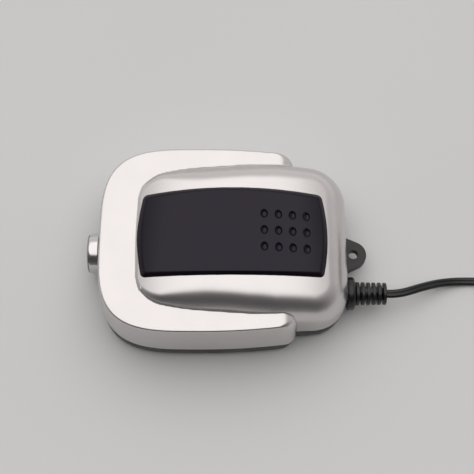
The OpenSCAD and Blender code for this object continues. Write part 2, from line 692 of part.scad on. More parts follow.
// silicone hose from a pump head's barb down an S to the valve body's barb
hose_sides = 12;
module air_hose_back() {
    from = [body_x[1] + 0.3, 14, outlet_z];
    to = [head_x - head_w / 2 - 0.3, rim_y + 11.5, drive_z];
    n = 17;
    function place(t) = let (k = smooth((t - 0.16) / 0.66))
        [from[0] + (to[0] - from[0]) * t, from[1] + (to[1] - from[1]) * k,
            from[2] + (to[2] - from[2]) * k];
    function along(t) = let (d = place(min(t + 0.02, 1)) - place(max(t - 0.02, 0))) d / norm(d);
    function ring(t, r) = let (d = along(t), side = cross([0, 0, 1], d) / norm(cross([0, 0, 1], d)),
        up = cross(d, side))
        [for (k = [0 : hose_sides - 1]) place(t)
            + r * (side * cos(k * 360 / hose_sides) + up * sin(k * 360 / hose_sides))];
    outside = [for (i = [0 : n - 1]) for (p = ring(i / (n - 1), 3.4)) p];
    inside = [for (i = [0 : n - 1]) for (p = ring(i / (n - 1), 2.45)) p];
    m = n * hose_sides;
    last = (n - 1) * hose_sides;
    color("whitesmoke") polyhedron(concat(outside, inside), concat(
        [for (i = [0 : n - 2]) for (k = [0 : hose_sides - 1])
            let (a = i * hose_sides + k, b = i * hose_sides + (k + 1) % hose_sides)
            [a, a + hose_sides, b + hose_sides, b]],
        [for (i = [0 : n - 2]) for (k = [0 : hose_sides - 1])
            let (a = m + i * hose_sides + k, b = m + i * hose_sides + (k + 1) % hose_sides)
            [a, b, b + hose_sides, a + hose_sides]],
        [for (k = [0 : hose_sides - 1]) let (l = (k + 1) % hose_sides) [k, l, m + l, m + k]],
        [for (k = [0 : hose_sides - 1]) let (l = (k + 1) % hose_sides)
            [last + l, last + k, m + last + k, m + last + l]]));
}
module air_hose_front() front() air_hose_back();

// ---- lead inside the case ----
module cord_clamp() {
    color(black) difference() {
        translate([55, -34.9, 16.75]) cube([5, 18.8, 3]);
        for (y = [-32.6, -18.4]) translate([57.5, y, 10]) cylinder(h = 20, r = 1.5);
    }
}
module clamp_screws() {
    color(steel) for (y = [-32.6, -18.4]) translate([57.5, y, 0]) union() {
        translate([0, 0, 9]) cylinder(h = 11, r = 1.18);
        translate([0, 0, 19.8]) cylinder(h = 1.5, r = 2.4);
    }
}

// flat twin profile, width along Y
module twin() {
    for (s = [-1, 1]) translate([0, s * (lead_w - lead_t) / 2]) circle(d = lead_t, $fn = 24);
    square([lead_t * 0.6, lead_w - lead_t], center = true);
}
module cord_inner_end() {
    color(rubber) translate([inner_end_x, lead_y, lead_z]) rotate([0, 90, 0])
        linear_extrude(case_right - 6.4 - inner_end_x) twin();
}
// each wire runs from the lead to its crimp, and from the crimp up to the coil's terminal
inner_end_x = 53.5;
crimp_x = [38, 47];
crimp_y = [-11, -15];
wire_z = 8.5;
wire_routes = [
    [[inner_end_x, -24.2, lead_z], [52.6, -20.5, 13.6], [51, -16.5, 10.8], [49, -13, 9],
        [crimp_x[1], crimp_y[0], wire_z]],
    [[inner_end_x, -26.8, lead_z], [53.4, -25.2, 12.6], [52.8, -22, 10.6], [51.2, -18.6, 9.2],
        [49, -16, 8.6], [crimp_x[1], crimp_y[1], wire_z]],
    [[crimp_x[0], crimp_y[0], wire_z], [36.8, -10.5, 10.5], [36, -8, 15], [35.8, -3, 22],
        [35.6, 2, 28], [34.6, 4.6, 33.6], [32, 5.8, 35.2], [29.5, 6, 35.5]],
    [[crimp_x[0], crimp_y[1], wire_z], [36.8, -14.6, 10.5], [36, -13.5, 15], [35.6, -11.5, 21],
        [35.6, -9, 28], [34.6, -7, 33.6], [32, -6.1, 35.2], [29.5, -6, 35.5]]];
module crimp_connectors() {
    color(white) for (y = crimp_y) translate([crimp_x[0] + 0.05, y, wire_z])
        rod_x(crimp_x[1] - crimp_x[0] - 0.1, 1.7);
}
module lead_wires() color(copper) for (route = wire_routes) tube(route, 1.5, 1.5, 6);

// ---- lead outside the case ----
module strain_relief() {
    color(rubber) translate([case_right, lead_y, lead_z]) union() {
        translate([-6.4, 0, 0]) rod_x(2.8, 6.5);
        translate([-4, 0, 0]) rod_x(5, 5.5);
        translate([0.1, 0, 0]) rotate([22.5, 0, 0]) rotate([0, 90, 0])
            cylinder(h = relief_collar_l, r = 10, $fn = 8);
        translate([relief_collar_l, 0, 0]) rod_x(relief_l, 4.3);
        for (i = [0 : 5]) translate([relief_collar_l + 0.75 + i * 3.27, 0, 0])
            rod_x(1.9, 7.1 - 0.05 * i);
        translate([relief_collar_l, -2.4, -6.6]) cube([relief_l, 4.8, 13.2]);
    }
}

lead_low = lead_t / 2 + 0.1;
coil_at = [212, 26];
turns_wide = 4;
turns_high = 2;
// route of the lead from its strain relief to its coil
lead_route = [[relief_end, lead_y, lead_z], [96, lead_y, lead_z], [102, -24.4, 14.2],
    [108, -22.3, 12.8], [114, -19.9, 10.8], [120, -17.6, 8.4], [126, -15.6, 6], [132, -14.2, 4],
    [138, -13.3, 2.6], [145, -12.9, lead_low], [153, -13, lead_low], [161, -13.6, lead_low],
    [169, -14.5, lead_low], [177, -15.3, lead_low], [186, -15.8, lead_low],
    [196, -16, lead_low]];
plug_at = [272, 48];
plug_route = [[244, -5.5, 5.2], [250.5, -2, 5.2], [257.5, 2.6, 5.4], [264, 8.2, 5.9],
    [269, 14.5, 6.5], [271.6, 20.5, 6.9], [272, 25.9, 7]];

module mains_cord() color(rubber) tube(lead_route, lead_w * 1.04, lead_t * 1.08, 8);
module plug_lead() color(rubber) tube(plug_route, lead_w * 1.04, lead_t * 1.08, 8);

module cord_coil() {
    w = turns_wide * lead_w + 0.6;
    h = turns_high * lead_t + 0.5;
    color(rubber) translate([coil_at[0], coil_at[1], h / 2 + 0.05]) rotate_extrude($fn = 64)
        translate([coil_d / 2, 0]) polygon([[-w / 2, -h / 2 + 1.5], [-w / 2 + 1.5, -h / 2],
            [w / 2 - 1.5, -h / 2], [w / 2, -h / 2 + 1.5], [w / 2, h / 2 - 1.5],
            [w / 2 - 1.5, h / 2], [-w / 2 + 1.5, h / 2], [-w / 2, h / 2 - 1.5]]);
}

// twist tie round the coil
module coil_tie() {
    w = turns_wide * lead_w + 0.8;
    h = turns_high * lead_t + 0.7;
    color(white) translate([coil_at[0] - 2, coil_at[1] + coil_d / 2 - w / 2 - 0.8, 0]) difference() {
        cube([4, w + 1.6, h + 0.8]);
        translate([-1, 0.8, -0.1]) cube([6, w, h]);
    }
}

module plug_body() {
    color(rubber) translate([plug_at[0], plug_at[1], 7]) union() {
        hull() {
            translate([-17.6 + 6.85, 0, 0]) rod_y(13, 6.85);
            translate([17.6 - 6.85, 0, 0]) rod_y(13, 6.85);
        }
        hull() {
            rod_y(4, 6.85);
            translate([0, -17, 0]) rod_y(2, 5.6);
        }
        translate([0, -22, 0]) rod_y(8, 4);
    }
}
module plug_pins() {
    color(steel) for (s = [-1, 1]) translate([plug_at[0] + s * 9.3, plug_at[1] + 13, 7]) union() {
        rod_y(18, 2);
        translate([0, 18, 0]) sphere(r = 2);
    }
}

lower_case();
upper_case();
top_panel();
case_screws();
rubber_feet();
filter_cover();
filter_felt();
valve_body();
outlet_nozzle_back();
outlet_nozzle_front();
valve_spindle();
spindle_o_ring();
spindle_clip();
regulator_knob();
core_laminations();
coil_bobbin();
coil_winding();
core_screws();
core_bushes();
swing_arm_back();
swing_arm_front();
magnet_back();
magnet_front();
pivot_pin_back();
pivot_pin_front();
pivot_bush_back();
pivot_bush_front();
pivot_clip_back();
pivot_clip_front();
diaphragm_back();
diaphragm_front();
diaphragm_screw_back();
diaphragm_screw_front();
clamp_ring_back();
clamp_ring_front();
pump_head_back();
pump_head_front();
inlet_flap_back();
inlet_flap_front();
outlet_flap_back();
outlet_flap_front();
head_cover_back();
head_cover_front();
head_screws();
air_hose_back();
air_hose_front();
cord_clamp();
clamp_screws();
lead_wires();
crimp_connectors();
strain_relief();
cord_inner_end();
mains_cord();
cord_coil();
coil_tie();
plug_lead();
plug_body();
plug_pins();
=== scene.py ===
import json
import math

import bpy
import numpy as np
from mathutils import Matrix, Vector


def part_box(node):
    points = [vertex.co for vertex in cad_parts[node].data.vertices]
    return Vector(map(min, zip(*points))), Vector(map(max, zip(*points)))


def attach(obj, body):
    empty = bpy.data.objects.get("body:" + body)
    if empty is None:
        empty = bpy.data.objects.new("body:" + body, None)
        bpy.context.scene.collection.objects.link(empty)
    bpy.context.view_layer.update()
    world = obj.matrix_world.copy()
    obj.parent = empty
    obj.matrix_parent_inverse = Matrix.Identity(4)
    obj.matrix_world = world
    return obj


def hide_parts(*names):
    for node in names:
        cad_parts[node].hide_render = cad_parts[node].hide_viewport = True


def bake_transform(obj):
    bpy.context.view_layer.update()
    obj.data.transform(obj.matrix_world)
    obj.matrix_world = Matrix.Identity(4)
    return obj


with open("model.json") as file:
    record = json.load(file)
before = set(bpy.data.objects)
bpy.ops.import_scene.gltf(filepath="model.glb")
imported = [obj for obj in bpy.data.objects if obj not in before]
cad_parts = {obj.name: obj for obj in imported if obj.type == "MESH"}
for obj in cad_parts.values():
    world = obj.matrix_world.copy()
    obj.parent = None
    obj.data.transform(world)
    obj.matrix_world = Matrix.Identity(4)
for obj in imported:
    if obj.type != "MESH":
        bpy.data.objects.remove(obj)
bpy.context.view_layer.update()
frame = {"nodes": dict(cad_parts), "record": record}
MM = 0.001


# ---------- camera ----------
# The view is from in front of the long side, 68 degrees above the level.
CAMERA_AT = Vector((0.7, -224.8, 600.3)) * MM
CAMERA_AIM = Vector((0.7, 0.0, 44.0)) * MM
camera = bpy.data.objects.new("camera", bpy.data.cameras.new("camera"))
bpy.context.scene.collection.objects.link(camera)
camera.location = CAMERA_AT
camera.rotation_euler = (CAMERA_AIM - CAMERA_AT).to_track_quat("-Z", "Y").to_euler()
camera.data.sensor_width = 36.0
camera.data.lens = 77.15
camera.data.clip_start = 0.01
bpy.context.scene.camera = camera


# ---------- materials ----------
class Nodes:
    """A material's node tree with short names for the nodes used here."""

    def __init__(self, name):
        self.material = bpy.data.materials.new(name)
        self.material.use_nodes = True
        self.tree = self.material.node_tree
        self.shader = self.tree.nodes["Principled BSDF"]
        self.place = self.add("ShaderNodeTexCoord").outputs["Object"]

    def add(self, kind, **settings):
        node = self.tree.nodes.new(kind)
        for key, value in settings.items():
            setattr(node, key, value)
        return node

    def link(self, out, into):
        self.tree.links.new(out, into)

    def noise(self, scale, detail=2.0, roughness=0.5):
        node = self.add("ShaderNodeTexNoise")
        node.inputs["Scale"].default_value = scale
        node.inputs["Detail"].default_value = detail
        node.inputs["Roughness"].default_value = roughness
        self.link(self.place, node.inputs["Vector"])
        return node.outputs["Fac"]

    def between(self, factor, low, high, into):
        """into gets a value from low to high as factor goes from 0.3 to 0.7."""
        node = self.add("ShaderNodeMapRange")
        self.link(factor, node.inputs["Value"])
        node.inputs["From Min"].default_value = 0.3
        node.inputs["From Max"].default_value = 0.7
        node.inputs["To Min"].default_value = low
        node.inputs["To Max"].default_value = high
        self.link(node.outputs["Result"], into)

    def colours(self, factor, low, high):
        """Base colour from low to high along factor."""
        ramp = self.add("ShaderNodeValToRGB")
        ramp.color_ramp.elements[0].position = 0.3
        ramp.color_ramp.elements[1].position = 0.7
        ramp.color_ramp.elements[0].color = (*low, 1.0)
        ramp.color_ramp.elements[1].color = (*high, 1.0)
        self.link(factor, ramp.inputs["Fac"])
        self.link(ramp.outputs["Color"], self.shader.inputs["Base Color"])

    def bump(self, height, strength, distance):
        node = self.add("ShaderNodeBump")
        node.inputs["Strength"].default_value = strength
        node.inputs["Distance"].default_value = distance
        self.link(height, node.inputs["Height"])
        self.link(node.outputs["Normal"], self.shader.inputs["Normal"])

    def set(self, **values):
        for key, value in values.items():
            self.shader.inputs[key.replace("_", " ")].default_value = value


def silver_paint(name, low, high, metallic, rough):
    """Satin metallic paint, slightly uneven in tone."""
    n = Nodes(name)
    n.colours(n.noise(60.0, 2.0), low, high)
    n.set(Metallic=metallic, Roughness=rough)
    return n.material


def plastic(name, low, high, rough, grain, depth, ior=1.5, tint=(1.0, 1.0, 1.0, 1.0)):
    """Moulded plastic or rubber: a fine grain, and large soft patches in colour and gloss."""
    n = Nodes(name)
    n.colours(n.noise(38.0, 4.0), low, high)
    n.between(n.noise(90.0, 3.0), rough - 0.05, rough + 0.05, n.shader.inputs["Roughness"])
    n.set(IOR=ior, Specular_Tint=tint)
    n.bump(n.noise(grain, 3.0, 0.6), 0.25, depth)
    return n.material


def metal(name, low, high, rough, scratch=1200.0):
    """Bare metal with fine scratches that vary its gloss."""
    n = Nodes(name)
    n.colours(n.noise(220.0, 4.0), low, high)
    n.between(n.noise(scratch, 2.0), rough - 0.06, rough + 0.08, n.shader.inputs["Roughness"])
    n.set(Metallic=1.0)
    n.bump(n.noise(scratch, 2.0), 0.15, 0.00002)
    return n.material


def layered(name, low, high, rough, pitch, axis, metallic):
    """Thin sheets or wound wire: fine lines across one axis."""
    n = Nodes(name)
    wave = n.add("ShaderNodeTexWave", wave_type="BANDS", bands_direction=axis)
    wave.inputs["Scale"].default_value = 1.0 / (math.pi * pitch)
    wave.inputs["Distortion"].default_value = 0.4
    wave.inputs["Detail"].default_value = 1.0
    n.link(n.place, wave.inputs["Vector"])
    n.colours(wave.outputs["Fac"], low, high)
    n.between(n.noise(400.0), rough - 0.05, rough + 0.05, n.shader.inputs["Roughness"])
    n.set(Metallic=metallic)
    n.bump(wave.outputs["Fac"], 0.5, 0.0001)
    return n.material


def felt_material(name):
    """Coarse pale fibres with a soft sheen."""
    n = Nodes(name)
    n.colours(n.noise(900.0, 6.0, 0.8), (0.66, 0.65, 0.61), (0.86, 0.85, 0.82))
    n.set(Roughness=0.95, Sheen_Weight=0.4)
    n.bump(n.noise(1500.0, 6.0, 0.8), 0.8, 0.0003)
    return n.material


LOOK = {
    "silver_paint": silver_paint("silver_paint", (0.655, 0.625, 0.62), (0.675, 0.643, 0.638), 0.92, 0.27),
    "silver_knob": silver_paint("silver_knob", (0.64, 0.62, 0.62), (0.67, 0.65, 0.65), 0.97, 0.17),
    "black_case": plastic("black_case", (0.009, 0.008, 0.009), (0.014, 0.013, 0.014), 0.40, 1800.0, 0.00004),
    "black_gloss": plastic("black_gloss", (0.004, 0.003, 0.006), (0.006, 0.0045, 0.009), 0.14, 700.0,
                           0.00001, ior=1.37, tint=(0.93, 0.84, 1.0, 1.0)),
    "black_inner": plastic("black_inner", (0.03, 0.03, 0.032), (0.05, 0.05, 0.053), 0.5, 1500.0, 0.00005),
    "white_plastic": plastic("white_plastic", (0.76, 0.76, 0.73), (0.84, 0.84, 0.82), 0.42, 900.0, 0.00003),
    "felt": felt_material("felt"),
    "steel": metal("steel", (0.48, 0.48, 0.50), (0.62, 0.62, 0.64), 0.32),
    "core_steel": layered("core_steel", (0.18, 0.18, 0.19), (0.40, 0.40, 0.42), 0.42, 0.0005, "Z", 0.9),
    "copper": layered("copper", (0.42, 0.17, 0.07), (0.75, 0.36, 0.16), 0.35, 0.0003, "X", 0.9),
    "magnet": plastic("magnet", (0.035, 0.035, 0.037), (0.07, 0.07, 0.073), 0.6, 1200.0, 0.00008),
    "rubber": plastic("rubber", (0.016, 0.016, 0.016), (0.03, 0.03, 0.03), 0.62, 2200.0, 0.00008),
    "silicone": plastic("silicone", (0.62, 0.64, 0.64), (0.74, 0.76, 0.76), 0.28, 500.0, 0.00002),
    "cord_black": plastic("cord_black", (0.005, 0.005, 0.005), (0.009, 0.008, 0.009), 0.20, 1500.0, 0.00002),
    "relief_black": plastic("relief_black", (0.008, 0.007, 0.009), (0.013, 0.012, 0.014), 0.30, 1500.0,
                            0.00003),
    "tie_white": plastic("tie_white", (0.74, 0.74, 0.72), (0.84, 0.84, 0.83), 0.4, 900.0, 0.00003),
    "pin_brass": metal("pin_brass", (0.60, 0.56, 0.46), (0.74, 0.71, 0.62), 0.24),
}
for part in frame["record"]["subparts"]:
    mesh = frame["nodes"][part["node"]].data
    mesh.materials.clear()
    mesh.materials.append(LOOK[part["material_slot"]])


# ---------- making meshes ----------
def add_piece(name, verts, faces, slot, body="housing", replaced=(), normals=None, look=None):
    """A smooth-shaded mesh piece, points in millimetres, that rides a body if one is named."""
    mesh = bpy.data.meshes.new(name)
    mesh.from_pydata([tuple(c * MM for c in v) for v in verts], [], [tuple(f) for f in faces])
    mesh.polygons.foreach_set("use_smooth", [True] * len(mesh.polygons))
    if normals is not None:
        mesh.normals_split_custom_set_from_vertices([tuple(n) for n in normals])
    mesh.materials.append(LOOK[look or slot])
    piece = bpy.data.objects.new(name, mesh)
    bpy.context.scene.collection.objects.link(piece)
    if body:
        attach(piece, body)
    if replaced:
        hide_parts(*replaced)
    return piece


def add_modifier(piece, kind, **settings):
    """A modifier of that kind at the end of the piece's list."""
    modifier = piece.modifiers.new(kind.lower(), kind)
    for key, value in settings.items():
        setattr(modifier, key, value)


def bevelled(piece, width):
    """Round edges of that width in millimetres, with the flat faces left flat in shading."""
    add_modifier(piece, "BEVEL", width=width * MM, segments=2, limit_method="ANGLE",
                 angle_limit=math.radians(35), harden_normals=True)


def revolve(profile, centre, axis, sides=72):
    """Points and faces of a profile of (along, radius) turned about an X or Y axis through centre."""
    verts, faces = [], []
    turn = {"X": lambda t, a, b: (t, a, b), "Y": lambda t, a, b: (b, t, a)}[axis]
    for along, radius in profile:
        for k in range(sides):
            angle = 2 * math.pi * k / sides
            offset = turn(along, radius * math.cos(angle), radius * math.sin(angle))
            verts.append(Vector(centre) + Vector(offset))
    for i in range(len(profile) - 1):
        for k in range(sides):
            m = (k + 1) % sides
            faces.append((i * sides + k, (i + 1) * sides + k, (i + 1) * sides + m, i * sides + m))
    faces.append(tuple(range(sides)))
    faces.append(tuple(reversed(range((len(profile) - 1) * sides, len(profile) * sides))))
    return verts, faces


def joined(*shapes):
    """Several (points, faces) as one."""
    verts, faces = [], []
    for v, f in shapes:
        start = len(verts)
        verts += list(v)
        faces += [tuple(i + start for i in face) for face in f]
    return verts, faces


def rounded_profile(points, radii, steps=4):
    """A profile's corners turned into arcs: a radius for each point, 0 where it stays sharp."""
    out = []
    for i, (p, r) in enumerate(zip(points, radii)):
        if r == 0:
            out.append(p)
            continue
        a, b, c = Vector(points[i - 1]), Vector(p), Vector(points[i + 1])
        one, two = (a - b).normalized(), (c - b).normalized()
        for k in range(steps + 1):
            t = k / steps
            start, end = b + one * r, b + two * r
            q = start * (1 - t) ** 2 + b * 2 * t * (1 - t) + end * t ** 2
            out.append((q.x, q.y))
    return out


# ---------- the lead ----------
LEAD_W, LEAD_T = 5.3, 3.1
low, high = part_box("strain_relief")
RELIEF_END = high.x / MM
LEAD_EXIT = Vector((RELIEF_END, (low.y + high.y) / 2 / MM, (low.z + high.z) / 2 / MM))
low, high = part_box("cord_coil")
COIL = Vector(((low.x + high.x) / 2 / MM, (low.y + high.y) / 2 / MM, 0.0))
FLOOR_H = LEAD_T / 2 + 0.1
SECOND_H = FLOOR_H + LEAD_T
OUTER_R, INNER_R = 41.8, 24.2
TURN_STEP = 5.9

# out of the relief, down to the floor and along it to the coil
lead_points = [(LEAD_EXIT.x - 1.0, LEAD_EXIT.y, LEAD_EXIT.z), (96, -25.5, 15), (102, -24.4, 14.2),
               (108, -22.3, 12.8), (114, -19.9, 10.8), (120, -17.6, 8.4), (126, -15.6, 6), (132, -14.2, 4),
               (138, -13.3, 2.6), (145, -12.9, FLOOR_H), (153, -13, FLOOR_H), (161, -13.6, FLOOR_H),
               (169, -14.5, FLOOR_H), (177, -15.3, FLOOR_H), (186, -15.8, FLOOR_H), (196, -16, FLOOR_H)]


def on_coil(angle, radius, height):
    """A point of the coil, at an angle in degrees."""
    a = math.radians(angle)
    return (COIL.x + radius * math.cos(a), COIL.y + radius * math.sin(a), height)


# three turns in on the floor, a climb at the inside, and nearly two turns out on top of them
IN_START, OUT_END, STEP_ANGLE, CLIMB_ANGLE = -90, 1720, 12, 110     # degrees
IN_END = IN_START + 360 * (OUTER_R - INNER_R) / TURN_STEP
OUT_START = IN_END + CLIMB_ANGLE
coil_points = [on_coil(a, OUTER_R - TURN_STEP * (a - IN_START) / 360, FLOOR_H)
               for a in np.arange(IN_START, IN_END, STEP_ANGLE)]
for a in np.arange(IN_END, OUT_START, STEP_ANGLE):
    share = (a - IN_END) / (OUT_START - IN_END)
    coil_points.append(on_coil(a, INNER_R, FLOOR_H + LEAD_T * share * share * (3 - 2 * share)))
coil_points += [on_coil(a, INNER_R + TURN_STEP * (a - OUT_START) / 360, SECOND_H)
                for a in np.arange(OUT_START, OUT_END, STEP_ANGLE)]
low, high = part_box("plug_body")
PLUG = Vector(((low.x + high.x) / 2 / MM, low.y / MM, (low.z + high.z) / 2 / MM))
plug_points = [(227, -7.6, SECOND_H), (236, -7.2, SECOND_H), (244, -5.5, SECOND_H), (250.5, -2, SECOND_H),
               (257.5, 2.6, 5.4), (264, 8.2, 5.9), (269, 14.5, 6.5), (271.6, 20.5, 6.9),
               (PLUG.x, PLUG.y + 1.0, PLUG.z)]


def smooth_line(points, spacing):
    """A centripetal curve through the points, sampled every spacing millimetres or so."""
    p = [Vector(q) for q in points]
    p = [2 * p[0] - p[1]] + p + [2 * p[-1] - p[-2]]
    out = []
    for i in range(1, len(p) - 2):
        a, b, c, d = p[i - 1:i + 3]
        count = max(1, round((c - b).length / spacing))
        for k in range(count):
            t = k / count
            out.append(0.5 * ((2 * b) + (c - a) * t + (2 * a - 5 * b + 4 * c - d) * t * t
                              + (3 * b - a - 3 * c + d) * t ** 3))
    return out + [p[-2]]


def twin_outline(width, thick, steps=10):
    """Outline of a flat twin lead: two round cores and the shallow groove between them."""
    r = thick / 2
    offset, groove = width / 2 - r, 0.70 * r
    arc = [math.radians(a) for a in np.linspace(-128, 128, steps)]
    right = [(offset + r * math.cos(a), r * math.sin(a)) for a in arc]
    return right + [(0.0, groove)] + [(-x, -y) for x, y in right] + [(0.0, -groove)]


def sweep(line, outline):
    """A tube of that outline along a line, its width kept level."""
    verts, faces = [], []
    n, m = len(line), len(outline)
    for i, point in enumerate(line):
        along = (line[min(i + 1, n - 1)] - line[max(i - 1, 0)]).normalized()
        side = Vector((-along.y, along.x, 0.0)).normalized()
        up = along.cross(side)
        verts += [point + side * x + up * y for x, y in outline]
    for i in range(n - 1):
        for k in range(m):
            j = (k + 1) % m
            faces.append((i * m + k, i * m + j, (i + 1) * m + j, (i + 1) * m + k))
    faces.append(tuple(reversed(range(m))))
    faces.append(tuple(range((n - 1) * m, n * m)))
    return verts, faces


lead_line = smooth_line(lead_points + coil_points + plug_points, 2.0)
lead = add_piece("lead", *sweep(lead_line, twin_outline(LEAD_W, LEAD_T)), "cord_black",
                 replaced=["mains_cord", "cord_coil", "plug_lead"])

# the plug: a flat body with rounded edges, a waist and a ribbed relief, and its two pins
PLUG_BODY_Y = PLUG.y + 22.0     # the widest part of the plug starts here
PIN_R, PIN_SLEEVE_R, PIN_SPREAD = 1.86, 1.98, 9.3


def squarish_oval(power, steps):
    """Points (c, s) of an oval between -1 and 1: power 1 is a circle, and towards 0 it becomes a square."""
    points = []
    for k in range(steps):
        c, s = math.cos(2 * math.pi * k / steps), math.sin(2 * math.pi * k / steps)
        points.append((math.copysign(abs(c) ** power, c), math.copysign(abs(s) ** power, s)))
    return points


def plug_section(y, half_w, half_h, power):
    """One ring of the plug."""
    return [Vector((PLUG.x + half_w * c, y, PLUG.z + half_h * s)) for c, s in squarish_oval(power, 40)]


def skin(rings):
    """Points and faces of a closed solid through a row of rings."""
    n, m = len(rings), len(rings[0])
    verts = [v for ring in rings for v in ring]
    faces = [(i * m + k, (i + 1) * m + k, (i + 1) * m + (k + 1) % m, i * m + (k + 1) % m)
             for i in range(n - 1) for k in range(m)]
    return verts, faces + [tuple(range(m)), tuple(reversed(range((n - 1) * m, n * m)))]


plug_rings = [plug_section(PLUG.y + 0.1, 3.5, 3.5, 1.0)]
PLUG_RIB, PLUG_RIB_PITCH = ((0.0, 3.9), (1.3, 3.9), (1.5, 3.1), (2.2, 3.1)), 2.4   # (along, radius)
for i in range(4):
    start = PLUG.y + 0.3 + i * PLUG_RIB_PITCH
    plug_rings += [plug_section(start + along, r, r, 1.0) for along, r in PLUG_RIB]
# along the body, with half its width, half its height and how square it is there
PLUG_SHAPE = [(-11.8, 4.2, 4.0, 0.9), (-8, 5.2, 4.6, 0.8), (-4, 7.2, 5.6, 0.7), (-1, 10.8, 6.3, 0.6),
              (2, 14.6, 6.7, 0.52), (5, 16.9, 6.8, 0.46), (8, 17.4, 6.8, 0.42), (11.2, 17.4, 6.8, 0.4),
              (12.6, 17.0, 6.5, 0.4), (13.0, 16.2, 5.9, 0.4)]
plug_rings += [plug_section(PLUG_BODY_Y + y, w, h, power) for y, w, h, power in PLUG_SHAPE]
plug = add_piece("plug", *skin(plug_rings), "cord_black", replaced=["plug_body"])
low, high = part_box("plug_pins")
PIN_END = high.y / MM
pin_shapes = []
for side in (-PIN_SPREAD, PIN_SPREAD):
    centre = (PLUG.x + side, 0.0, PLUG.z)
    profile = [(PLUG_BODY_Y + 12.5, PIN_SLEEVE_R), (PIN_END - 9.5, PIN_SLEEVE_R), (PIN_END - 9.3, PIN_R),
               (PIN_END - 2.2, PIN_R), (PIN_END - 1.2, 1.65), (PIN_END - 0.5, 1.15), (PIN_END - 0.1, 0.4)]
    pin_shapes.append(revolve(profile, centre, "Y", 32))
pins = add_piece("pins", *joined(*pin_shapes), "pin_brass", replaced=["plug_pins"])

# flat band of the tie round the coil
TIE_SIDES = 48
TIE_SECTION = ((-1.7, 0.985), (-1.7, 1.015), (0.0, 1.03), (1.7, 1.015), (1.7, 0.985), (0.0, 0.97))
low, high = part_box("coil_tie")
tie_mid = Vector(((low.x + high.x) / 2 / MM, (low.y + high.y) / 2 / MM, (low.z + high.z) / 2 / MM))
half_y, half_z = (high.y - low.y) / 2 / MM, (high.z - low.z) / 2 / MM
tie_verts = []
for c, s in squarish_oval(0.45, TIE_SIDES):
    out = Vector((0.0, c * (half_y - 0.3), s * (half_z - 0.3)))
    tie_verts += [tie_mid + out * f + Vector((x, 0.0, 0.0)) for x, f in TIE_SECTION]
m = len(TIE_SECTION)
tie_faces = [(i * m + k, i * m + (k + 1) % m, j * m + (k + 1) % m, j * m + k)
             for i, j in ((i, (i + 1) % TIE_SIDES) for i in range(TIE_SIDES)) for k in range(m)]
tie = add_piece("tie", tie_verts, tie_faces, "tie_white", replaced=["coil_tie"])


# ---------- solids given as distance fields ----------
# Each field takes arrays of points in millimetres and is negative inside the solid.
def smoothed(t):
    c = np.clip(t, 0, 1)
    return c * c * (3 - 2 * c)


def both(a, b, r):
    """Intersection with its edge rounded to radius r."""
    return np.minimum(np.maximum(a, b), -r) + np.hypot(np.maximum(a + r, 0), np.maximum(b + r, 0))


def either(a, b, r):
    """Union with a fillet of radius r in its corner."""
    return np.maximum(np.minimum(a, b), r) - np.hypot(np.maximum(r - a, 0), np.maximum(r - b, 0))


def block(x, y, z, low, high, r):
    """Box with rounded edges."""
    q = [np.abs(v - (a + b) / 2) - (b - a) / 2 + r for v, a, b in zip((x, y, z), low, high)]
    outside = np.sqrt(sum(np.maximum(v, 0) ** 2 for v in q))
    return outside + np.minimum(np.maximum.reduce(q), 0) - r


def rod_x(y, z, y0, z0, r):
    """Endless rod along X."""
    return np.hypot(y - y0, z - z0) - r


# the pump's main sizes, in millimetres
DECK_Z, SEAM_Z, RIM_Z, DRAFT, WALL = 44.0, 15.0, 15.35, 2.2, 2.2
OVAL_X, OVAL_L, OVAL_W, OVAL_POWER = -20.0, 61.0, 58.4, 3.65
SIDE_BOW, BOW_SPAN = 2.6, 46.0
ARM_END, ARM_ROLL, ARM_CORNER = 37.2, 12.5, 8.0
EDGE_R, ARM_EDGE_R = 1.3, 4.0
DOME_Z, ARCH_DROP, ARCH_MID, ARCH_SPAN = 55.2, 9.8, -2.0, 55.0
DOME_FALL, PANEL_FALL, FALL_SPAN = 0.6, 0.5, 26.0       # fall of each top at that distance to a side
DOME_LEFT, DOME_RIGHT = -59.8, 67.0
SHOULDER_LEFT, SHOULDER_SIDE, SHOULDER_RIGHT, SHOULDER_SPAN = 2.5, 17.0, 13.0, 42.0
FOOT_W, FOOT_TAPER, FOOT_CURVE = 47.3, 0.072, 0.0036     # half the dome's width where it meets the deck
LEFT_CORNER, RIGHT_CORNER = 17.0, 21.0
PANEL_RISE = 1.8
OUTLET_Y, ALCOVE_X, ALCOVE_LOW, ALCOVE_W, ALCOVE_H = 26.5, -71.0, 4.0, 22.0, 19.0
HUB_R, GLAND_R = 6.5, 5.55      # passages for the knob's hub and for the lead
low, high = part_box("regulator_knob")
KNOB_END, KNOB_Z = low.x / MM, (low.z + high.z) / 2 / MM
KNOB_R = (high.z - low.z) / 2 / MM


def horseshoe_plan(x, y):
    """Distance from the horseshoe's outline at deck height, arm ends left open."""
    a, b = np.abs(x - OVAL_X) / OVAL_L, np.abs(y) / OVAL_W
    s = np.maximum((a ** OVAL_POWER + b ** OVAL_POWER) ** (1 / OVAL_POWER), 1e-6)
    slope = np.hypot((a / s) ** (OVAL_POWER - 1) / OVAL_L, (b / s) ** (OVAL_POWER - 1) / OVAL_W)
    oval = (s - 1) / np.maximum(slope, 1e-6)
    past = np.maximum(x - OVAL_X, 0)
    lean = 2 * SIDE_BOW * past / BOW_SPAN ** 2
    side = (np.abs(y) - OVAL_W + SIDE_BOW * (past / BOW_SPAN) ** 2) / np.hypot(1, lean)
    return np.where(x < OVAL_X, oval, side)


